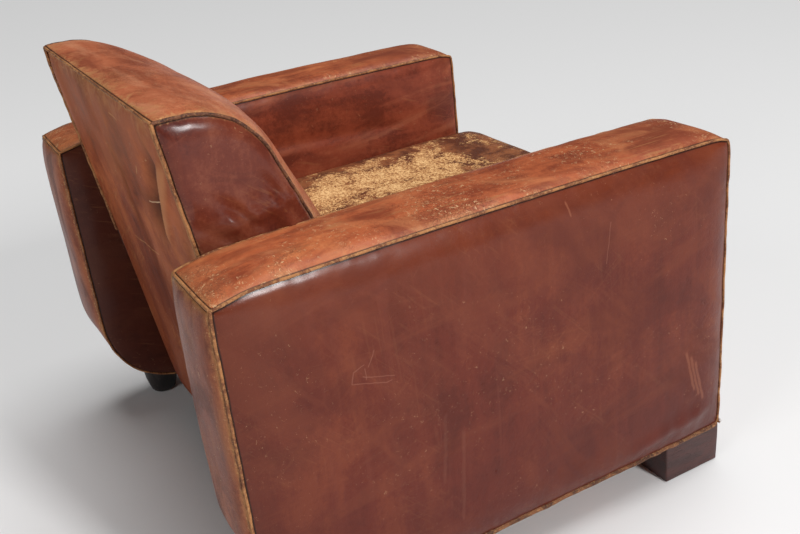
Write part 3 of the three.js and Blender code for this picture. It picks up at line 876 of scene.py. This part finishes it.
def arm_block():
    """The left arm's body, a little inside its panels, drawn to the swept outline."""
    band_low, band_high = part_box("arm_band_left")
    rear_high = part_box("arm_rear_band_left")[1]
    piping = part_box("arm_outer_piping_left")
    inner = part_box("arm_inner_piping_left")
    low = Vector((inner[0].x + 0.0015, band_low.y + 0.001, band_low.z + 0.002))
    high = Vector((piping[1].x - 0.0015, rear_high.y - 0.001, band_high.z - 0.001))
    block = cut_block("arm_body", low, high, ARM_CELL)
    split = high.y - high.z  # the bands meet on a 45 degree line through the rear top corner

    def panel_of(centre, normal):
        if abs(normal.x) > 0.7:
            return OUTER if normal.x > 0 else INNER
        behind = centre.y - centre.z > split or (normal.z < -0.5 and centre.y > 0.05)
        return REAR if behind else TOP

    mark_panels(block, panel_of)
    length = high.y - low.y
    for vertex in block.data.vertices:
        co = vertex.co
        rear, base = round_corner(high.y - co.y, co.z - low.z, SWEEP)
        co.y, co.z = high.y - rear, low.z + base
        share = (co.z - low.z) / (high.z - low.z)
        along = (co.y - low.y) / length
        bow = 0.004 * math.sin(math.pi * along) - 0.009 * smooth_step(along, 0.93, 1.0)
        front = -0.005 * smooth_step(along, 0.03, 0.0)
        co.z += (bow + front) * share ** 3
    return block


def swell_of_arm(panel, co):
    return {OUTER: (0.0165, 2), INNER: (0.0080, 2), TOP: (0.0115, 4), REAR: (0.0150, 5)}[panel]


def arm_folds(panel, co):
    """Slack hide: long level creases inside, ripples over the foot and down the rear edge."""
    if panel == INNER:
        long = noise.noise(Vector((3, co.y * 3.5, co.z * 17))) * 0.0030
        crease = crease_line(co, (0.16, 0.475), (-0.22, 0.445), 0.012)
        return long - 0.0042 * crease
    if panel == OUTER:
        over_foot = math.exp(-((co.y + 0.27) / 0.10) ** 2) * smooth_step(co.z, 0.17, 0.08)
        ripple = noise.noise(Vector((5, co.y * 42, co.z * 9))) * 0.0032 * over_foot
        swag = 0.0045 * crease_line(co, (-0.33, 0.125), (-0.16, 0.105), 0.014)
        slow = noise.noise(Vector((8, co.y * 6, co.z * 5))) * 0.0022
        return slow + ripple + swag
    if panel == TOP:
        return noise.noise(Vector((co.x * 8, co.y * 10, 2))) * 0.0030
    return noise.noise(Vector((co.x * 14, 6, co.z * 8))) * 0.0030


def build_arms(finishes):
    body = arm_block()
    plump(body, swell_of_arm, 25)
    soften(body, 0.0012, 0.0013, arm_folds)
    other = mirrored_copy(body, "arm_body_right")
    for side, block in (("left", body), ("right", other)):
        build_arm(side, block, finishes)


def build_arm(side, block, finishes):
    for place, panel in (("outer", OUTER), ("inner", INNER)):
        cord = lay_piping(
            block, f"arm_{place}_welt_{side}", lambda pair, *_: panel in pair, 0.0020, 0.0010,
            finishes["piping"], 0.0005,
        )
        dress(cord, "piping_leather", f"arm_{place}_piping_{side}")
    cross = lay_piping(
        block, f"arm_cross_welt_{side}",
        lambda pair, mesh, key: pair == (TOP, REAR) and mesh.vertices[key[0]].co.z > 0.3,
        0.0021, 0.0010, finishes["piping"],
    )
    dress(cross, "piping_leather")
    second = lay_piping(
        block, f"arm_rear_second_welt_{side}",
        lambda pair, *_: pair == (OUTER, REAR), 0.0021, 0.0018, finishes["piping"], 0.0012,
    )
    set_aside(second, -0.0050 if side == "left" else 0.0050)
    dress(second, "piping_leather")
    build_bottom_fold(side, block, finishes["fold"])
    panels = (
        (OUTER, "arm_outer_leather", "arm_leather", "outer", ("arm_outer_panel",)),
        (INNER, "arm_inner_leather", "arm_leather", "inner", ("arm_inner_panel",)),
        (TOP, "arm_top_leather", "arm_top_leather", "top", ("arm_band", "arm_stuffing")),
        (REAR, "arm_rear_leather", "arm_leather", "rear", ("arm_rear_band",)),
    )
    for number, name, slot, finish, nodes in panels:
        panel = cut_panel(block, number, f"{name}_{side}", finishes[finish])
        dress(panel, slot, *(f"{node}_{side}" for node in nodes), fill=0.9)
    bpy.data.objects.remove(block)


def build_bottom_fold(side, block, finish):
    """The outer hide's raw lower edge, turned under and tacked: a ragged strip standing proud."""
    mesh = block.data
    ends = {i for key, pair in seam_edges(mesh).items() if OUTER in pair for i in key}
    base = min(mesh.vertices[i].co.z for i in ends)
    front = min(mesh.vertices[i].co.y for i in ends)
    low = [mesh.vertices[i].co.copy() for i in ends if mesh.vertices[i].co.z < base + 0.035]
    run = sorted((co for co in low if co.z < base + 0.004 or co.y > front + 0.02), key=lambda co: co.y)
    out = 1 if side == "left" else -1
    rows = []
    for co in run:
        hang = 0.0065 + 0.0022 * noise.noise(co * 38) + 0.0016 * noise.noise(co * 120)
        proud = 0.0040 + 0.0014 * noise.noise(co * 55)
        profile = (
            (0.0, -0.001), (proud, -0.0005), (proud + 0.0012, 0.003), (proud, hang), (0.0, hang + 0.001),
        )
        rows.append([(co.x + out * x, co.y, co.z - 0.0022 + z) for x, z in profile])
    strip = add_grid(f"arm_bottom_fold_{side}", len(rows[0]) - 1, len(rows) - 1)
    spots = [spot for row in rows for spot in row]
    for vertex, spot in zip(strip.data.vertices, spots):
        vertex.co = spot
    apply(strip, "SOLIDIFY", thickness=0.0012, offset=0)
    merge(strip)
    apply(strip, "SUBSURF", levels=1, render_levels=1)
    bpy.ops.object.shade_smooth()
    finish.cover(strip)
    dress(strip, "piping_leather")
    build_tuft(side, run[0], out, finish)


GOLDEN_ANGLE = 2.399  # spreads the threads round the corner


def build_tuft(side, corner, out, finish):
    """Frayed threads of hide at the front lower corner."""
    threads = []
    for number in range(14):
        angle = number * GOLDEN_ANGLE
        reach = 0.005 + 0.004 * ((number * 0.618) % 1)
        away = Vector((out * (0.004 + 0.003 * math.cos(angle)), -0.004, 0.004 * math.sin(angle)))
        bpy.ops.mesh.primitive_cone_add(
            vertices=6, radius1=0.0009, radius2=0.0002, depth=reach,
            location=corner + away * 0.7 + Vector((0, 0, 0.003)),
            rotation=away.to_track_quat("Z", "Y").to_euler(),
        )
        threads.append(bpy.context.object)
    for thread in threads:
        thread.select_set(True)
    bpy.ops.object.join()
    tuft = named(f"frayed_corner_{side}")
    settle(tuft)
    finish.cover(tuft)
    dress(tuft, "piping_leather")


# ---------------------------------------------------------------- back

FACE, BACK_REAR, GUSSET_LEFT, GUSSET_RIGHT, UNDER = range(5)
BACK_CELL = 0.0125
BACK_NOSE = 0.07  # radius where the back's top turns into its face
FACE_LEAN = 0.415  # how far the back's face runs back for each metre of height


def back_profile():
    """The back in the side view: the rear line's start and slope, and the face's start, in y."""
    low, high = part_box("back_rear_panel")
    rear_slope = (high.y - low.y - 0.0022) / (high.z - low.z)
    rear_start = low.y + 0.0022 - rear_slope * low.z
    face_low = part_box("back_front_cover")[0]
    return rear_start, rear_slope, face_low.y - FACE_LEAN * face_low.z


def back_block():
    rear_start, rear_slope, front_start = back_profile()
    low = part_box("back_stuffing")[0]
    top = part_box("back_front_cover")[1].z
    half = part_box("back_gusset_left")[1].x - 0.002
    depth = 0.26  # the block's depth before it is drawn to the profile
    block = cut_block("back_body", (-half, 0, low.z), (half, depth, top), BACK_CELL)

    def panel_of(centre, normal):
        if abs(normal.x) > 0.7:
            return GUSSET_LEFT if normal.x > 0 else GUSSET_RIGHT
        if normal.y > 0.7:
            return BACK_REAR
        return UNDER if normal.z < -0.5 else FACE

    mark_panels(block, panel_of)
    for vertex in block.data.vertices:
        co = vertex.co
        z = co.z
        deep = rear_start + rear_slope * z - front_start - FACE_LEAN * z
        ahead, below = round_corner(co.y / depth * deep, top - z, BACK_NOSE)
        z = top - below
        co.y = front_start + FACE_LEAN * z + ahead
        co.z = z
    crown_face(block, half, rear_start, rear_slope)
    return block


def crown_face(block, half, rear_start, rear_slope):
    """Packs the face out between the gussets, least beside the ridge welt."""
    mesh = block.data
    face = {i for polygon in mesh.polygons if polygon.material_index == FACE for i in polygon.vertices}
    normals = [vertex.normal.copy() for vertex in mesh.vertices]
    for i in face:
        co = mesh.vertices[i].co
        from_ridge = rear_start + rear_slope * co.z - co.y
        packed = (1 - (abs(co.x) / half) ** 3) * math.tanh(from_ridge / 0.07)
        mesh.vertices[i].co = co + Vector((0, normals[i].y, normals[i].z)) * 0.022 * packed


def swell_of_back(panel, co):
    return (0.016, 1.5) if panel == FACE else (0.0110, 4)


GUSSET_TUCKS = (
    ((0.245, 0.560), (0.290, 0.640)),
    ((0.290, 0.560), (0.350, 0.620)),
    ((0.330, 0.560), (0.400, 0.600)),
)


def back_folds(panel, co):
    """Pleats where the gussets are drawn down between the arms; loose waves on the face."""
    if panel in (GUSSET_LEFT, GUSSET_RIGHT):
        drawn = smooth_step(co.z, 0.635, 0.565)
        pleat = noise.noise(Vector((2, (co.y - 0.5 * co.z) * 40, co.z * 6))) * 0.0100
        fold = crease_line(co, (0.395, 0.575), (0.20, 0.605), 0.009)
        tucks = sum(crease_line(co, start, end, 0.007) for start, end in GUSSET_TUCKS)
        return pleat * drawn + 0.0045 * fold - 0.0065 * tucks
    if panel == FACE:
        return noise.noise(Vector((co.x * 6, 1, co.z * 10))) * 0.0035
    return 0.0


def build_back(finishes):
    block = back_block()
    plump(block, swell_of_back, 60)
    soften(block, 0.0020, 0.0014, back_folds)
    for side, number in (("left", GUSSET_LEFT), ("right", GUSSET_RIGHT)):
        front = lay_piping(
            block, f"back_front_welt_{side}",
            lambda pair, mesh, key: pair == (FACE, number) and mesh.vertices[key[0]].co.z > 0.45,
            0.0023, 0.0008, finishes["dark_piping"], 0.0004,
        )
        dress(front, "piping_leather", f"back_piping_{side}")
        for place, aside in (("gusset", 0.0), ("panel", 0.0052)):
            rear = lay_piping(
                block, f"back_rear_welt_{place}_{side}",
                lambda pair, mesh, key: pair == (BACK_REAR, number) and mesh.vertices[key[0]].co.z > 0.4,
                0.0022, 0.0014, finishes["piping"], 0.0007,
            )
            set_aside(rear, -aside if side == "left" else aside)
            dress(rear, "piping_leather")
    ridge = lay_piping(
        block, "back_ridge_welt",
        lambda pair, mesh, key: pair == (FACE, BACK_REAR) and mesh.vertices[key[0]].co.z > 0.5,
        0.0020, 0.0012, finishes["piping"], 0.0004,
    )
    dress(ridge, "piping_leather", "back_cross_piping")
    cover = cut_panel(block, FACE, "back_front_leather", finishes["back"])
    dress(cover, "back_leather", "back_front_cover", "back_stuffing", fill=0.8)
    for side, number in (("left", GUSSET_LEFT), ("right", GUSSET_RIGHT)):
        gusset = cut_panel(block, number, f"back_gusset_leather_{side}", finishes["gusset"])
        dress(gusset, "back_leather", f"back_gusset_{side}", fill=0.8)
    bpy.data.objects.remove(block)
    build_rear_panel(finishes["back_rear"])


def build_rear_panel(finish):
    """The panel behind the back: one hide, slack enough to fall in soft upright folds."""
    rear_start, rear_slope, _ = back_profile()
    low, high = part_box("back_rear_panel")
    top = high.z + 0.008
    panel = add_grid("back_rear_leather", 100, 110)
    half = high.x + 0.004
    edges = []
    for vertex in panel.data.vertices:
        x, share = vertex.co.x * 2 * half, vertex.co.y + 0.5
        z = low.z + (top - low.z) * share
        side_gap, top_gap = half - abs(x), top - z
        rise = math.tanh(side_gap / 0.02) * math.tanh(top_gap / 0.02 + 0.05) * math.tanh(share / 0.05 + 0.3)
        folds = noise.noise(Vector((x * 13, 0, z * 2.4))) * 0.0050
        folds += noise.noise(Vector((x * 36, 4, z * 6))) * 0.0013
        spot = (x, 0, z)
        ridge = crease_line(spot, (-0.260, 0.675), (-0.160, 0.520), 0.010, (0, 2))
        hollow = crease_line(spot, (-0.215, 0.670), (-0.110, 0.525), 0.024, (0, 2))
        bulge = 0.007 * rise + (folds + 0.0065 * ridge - 0.0125 * hollow) * rise
        vertex.co = (x, rear_start + rear_slope * z + bulge - 0.003, z)
        if side_gap < 1e-6 or top_gap < 1e-6:
            edges.append(vertex.co.copy())
    record_gap(panel.data, gap_finder(edges))
    if panel.data.polygons[0].normal.y < 0:
        flip(panel)
    thicken(panel, finish)
    dress(panel, "back_leather", "back_rear_panel", fill=0.4)


# ---------------------------------------------------------------- seat

SEAT_CELL = 0.0125


def build_seat(finishes):
    low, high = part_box("seat_cover")
    front, top = low.y + 0.006, high.z - 0.003
    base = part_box("seat_stuffing")[0].z - 0.002
    inset = 0.002
    start, end = (low.x + inset, front, base), (high.x - inset, high.y - 0.012, top)
    block = cut_block("seat_body", start, end, SEAT_CELL)
    mark_panels(block, lambda centre, normal: 1 if abs(normal.x) > 0.7 else 2 if normal.y > 0.7 else 0)
    for vertex in block.data.vertices:
        co = vertex.co
        ahead, below = round_corner(co.y - front, top - co.z, 0.045)
        co.y, co.z = front + ahead, top - below
        ahead, above = round_corner(co.y - front, co.z - base, 0.03)
        co.y, co.z = front + ahead, base + above
        co.y += FACE_LEAN * (co.z - top) * smooth_step(co.y, 0.0, 0.14)

    def swell(panel, co):
        upper = smooth_step(co.z, base + 0.05, top)
        return (0.002, 1) if panel else (0.006 + 0.018 * upper, 2)

    plump(block, swell, 30)
    soften(block, 0.003, 0.0012, lambda panel, co: 0.0)
    for face in block.data.polygons:
        face.material_index = 0
    edge = block.data.attributes.new("edge_gap", "FLOAT", "POINT")
    edge.data.foreach_set("value", [
        max(0, min(high.x - abs(vertex.co.x), (vertex.co.y - front - 0.035) * 0.8))
        for vertex in block.data.vertices
    ])
    block.name = block.data.name = "seat_cushion"
    only(block)
    bpy.ops.object.shade_smooth()
    finishes["seat"].cover(block)
    dress(block, "seat_leather", "seat_cover", "seat_stuffing", fill=0.7)
    build_apron(finishes["apron"])


def build_apron(finish):
    """The leather below the seat's roll, tucked behind the arms' fronts."""
    low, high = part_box("front_apron")
    apron = add_grid("front_apron_leather", 90, 36)
    edges = []
    for vertex in apron.data.vertices:
        x = vertex.co.x * (high.x - low.x)
        z = (low.z + high.z) / 2 + vertex.co.y * (high.z - low.z)
        gap = min(high.x - abs(x), z - low.z)
        swell = 0.006 * math.tanh(gap / 0.03) + 0.002 * noise.noise(Vector((x * 9, 7, z * 12)))
        vertex.co = (x, low.y + 0.004 - swell, z)
        if gap < 1e-6:
            edges.append(vertex.co.copy())
    record_gap(apron.data, gap_finder(edges))
    if apron.data.polygons[0].normal.y > 0:
        flip(apron)
    thicken(apron, finish, 0.0022)
    dress(apron, "seat_leather", "front_apron", fill=0.4)


# ---------------------------------------------------------------- feet and underside


def build_front_foot(side, finish):
    """A sawn block with eased edges, a little narrower at the floor."""
    low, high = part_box(f"foot_front_{side}")
    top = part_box("dust_cover")[0].z - 0.0004
    bpy.ops.object.select_all(action="DESELECT")
    bpy.ops.mesh.primitive_cube_add(size=1)
    foot = named(f"block_foot_{side}")
    foot.scale = (high.x - low.x, high.y - low.y, top)
    foot.location = ((low.x + high.x) / 2, (low.y + high.y) / 2, top / 2)
    settle(foot)
    editing(foot)
    bpy.ops.mesh.select_all(action="SELECT")
    bpy.ops.mesh.subdivide(number_cuts=14)
    done_editing()
    centre = Vector(((low.x + high.x) / 2, (low.y + high.y) / 2, 0))
    for vertex in foot.data.vertices:
        co = vertex.co
        flat = (co.xy - centre.xy) * (1 - 0.012 * (1 - co.z / top))
        co.x, co.y = centre.x + flat.x, centre.y + flat.y
        if 0.002 < co.z < top - 0.002:
            co.xy += (co.xy - centre.xy).normalized() * 0.0007 * noise.noise(co * 40)
    apply(foot, "BEVEL", width=0.0022, segments=3, limit_method="ANGLE", angle_limit=math.radians(40))
    bpy.ops.object.shade_smooth_by_angle(angle=math.radians(35))
    finish.cover(foot)
    dress(foot, "foot_wood", f"foot_front_{side}")


def build_rear_foot(side, finish):
    """Turned: a disc drawn upwards in steps, wider at each, up to the dust cover."""
    low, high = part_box(f"foot_rear_{side}")
    x, y = (low.x + high.x) / 2, (low.y + high.y) / 2
    wide = (high.x - low.x) / 2
    bpy.ops.object.select_all(action="DESELECT")
    bpy.ops.mesh.primitive_circle_add(vertices=48, radius=wide * 0.62, fill_type="NGON", location=(x, y, 0))
    foot = named(f"turned_foot_{side}")
    settle(foot)
    editing(foot)
    bpy.ops.mesh.select_all(action="SELECT")
    for rise, radius in ((0.004, 0.72), (0.012, 0.84), (0.016, 0.95), (0.020, 1.0), (0.016, 1.0)):
        bpy.ops.mesh.extrude_region_move(TRANSFORM_OT_translate={"value": (0, 0, rise)})
        grown = radius * wide / current_radius(foot, x, y)
        bpy.ops.transform.resize(value=(grown, grown, 1), center_override=(x, y, 0))
    bpy.ops.mesh.select_all(action="SELECT")
    bpy.ops.mesh.normals_make_consistent(inside=False)
    done_editing()
    apply(foot, "BEVEL", width=0.001, segments=2, limit_method="ANGLE", angle_limit=math.radians(50))
    bpy.ops.object.shade_smooth_by_angle(angle=SMOOTH_UNDER)
    finish.cover(foot)
    dress(foot, "foot_wood", f"foot_rear_{side}")


def current_radius(foot, x, y):
    foot.update_from_editmode()
    return max(math.hypot(v.co.x - x, v.co.y - y) for v in foot.data.vertices if v.select)


REAR_MARGIN = 0.026  # bare strip behind the dust cloth


def build_dust_cloth(finish):
    """Black cloth tacked under the frame, sagging a little in the middle."""
    low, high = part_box("dust_cover")
    cloth = add_grid("dust_cloth", 60, 46)
    width, length = high.x - low.x, high.y - REAR_MARGIN - low.y
    for vertex in cloth.data.vertices:
        x, y = vertex.co.x * width, low.y + (vertex.co.y + 0.5) * length
        sag = 0.006 * math.cos(vertex.co.x * math.pi) * math.cos(vertex.co.y * math.pi)
        sag += 0.0012 * noise.noise(Vector((x * 12, y * 12, 3))) * smooth_step(sag, 0, 0.002)
        vertex.co = (x, y, low.z + 0.0004 - sag)
    apply(cloth, "SOLIDIFY", thickness=0.0006, offset=1)
    bpy.ops.object.shade_smooth()
    finish.cover(cloth)
    dress(cloth, "dust_cloth", "dust_cover")


# ---------------------------------------------------------------- the chair

finishes = {
    "outer": outer_arm_hide(),
    "inner": inner_arm_hide(),
    "top": arm_top_hide(),
    "rear": arm_rear_hide(),
    "back": back_top_hide(),
    "back_rear": back_rear_hide(),
    "gusset": gusset_hide(),
    "apron": apron_hide(),
    "seat": seat_hide(),
    "piping": piping_leather("rubbed_piping", (0.17, 0.056, 0.022), (0.40, 0.170, 0.062)),
    "fold": piping_leather("raw_hide_fold", (0.07, 0.022, 0.011), (0.21, 0.080, 0.033), 0.4),
    "dark_piping": piping_leather("dark_piping", (0.06, 0.020, 0.013), (0.17, 0.062, 0.03), 0.25),
}


def finish_hidden_frame():
    """Frame, webs and springs keep their CAD shapes and get their real surfaces."""
    beech = sawn_beech()
    jute = woven_cloth("jute_webbing", (0.5, 0.39, 0.23), (0.25, 0.18, 0.1), 900)
    wire = spring_wire()
    for name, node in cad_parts.items():
        if "rail" in name or "post" in name or "upright" in name:
            beech.cover(node)
        elif "_web_" in name:
            jute.cover(node)
        elif "spring" in name:
            wire.cover(node)


add_camera()
add_studio()
finish_hidden_frame()
build_arms(finishes)
build_back(finishes)
build_seat(finishes)
block_wood, foot_black = stained_wood(), blackened_wood()
for side, _ in SIDES:
    build_front_foot(side, block_wood)
    build_rear_foot(side, foot_black)
build_dust_cloth(woven_cloth("black_dust_cloth", (0.035, 0.035, 0.037), (0.012, 0.012, 0.013), 1400))
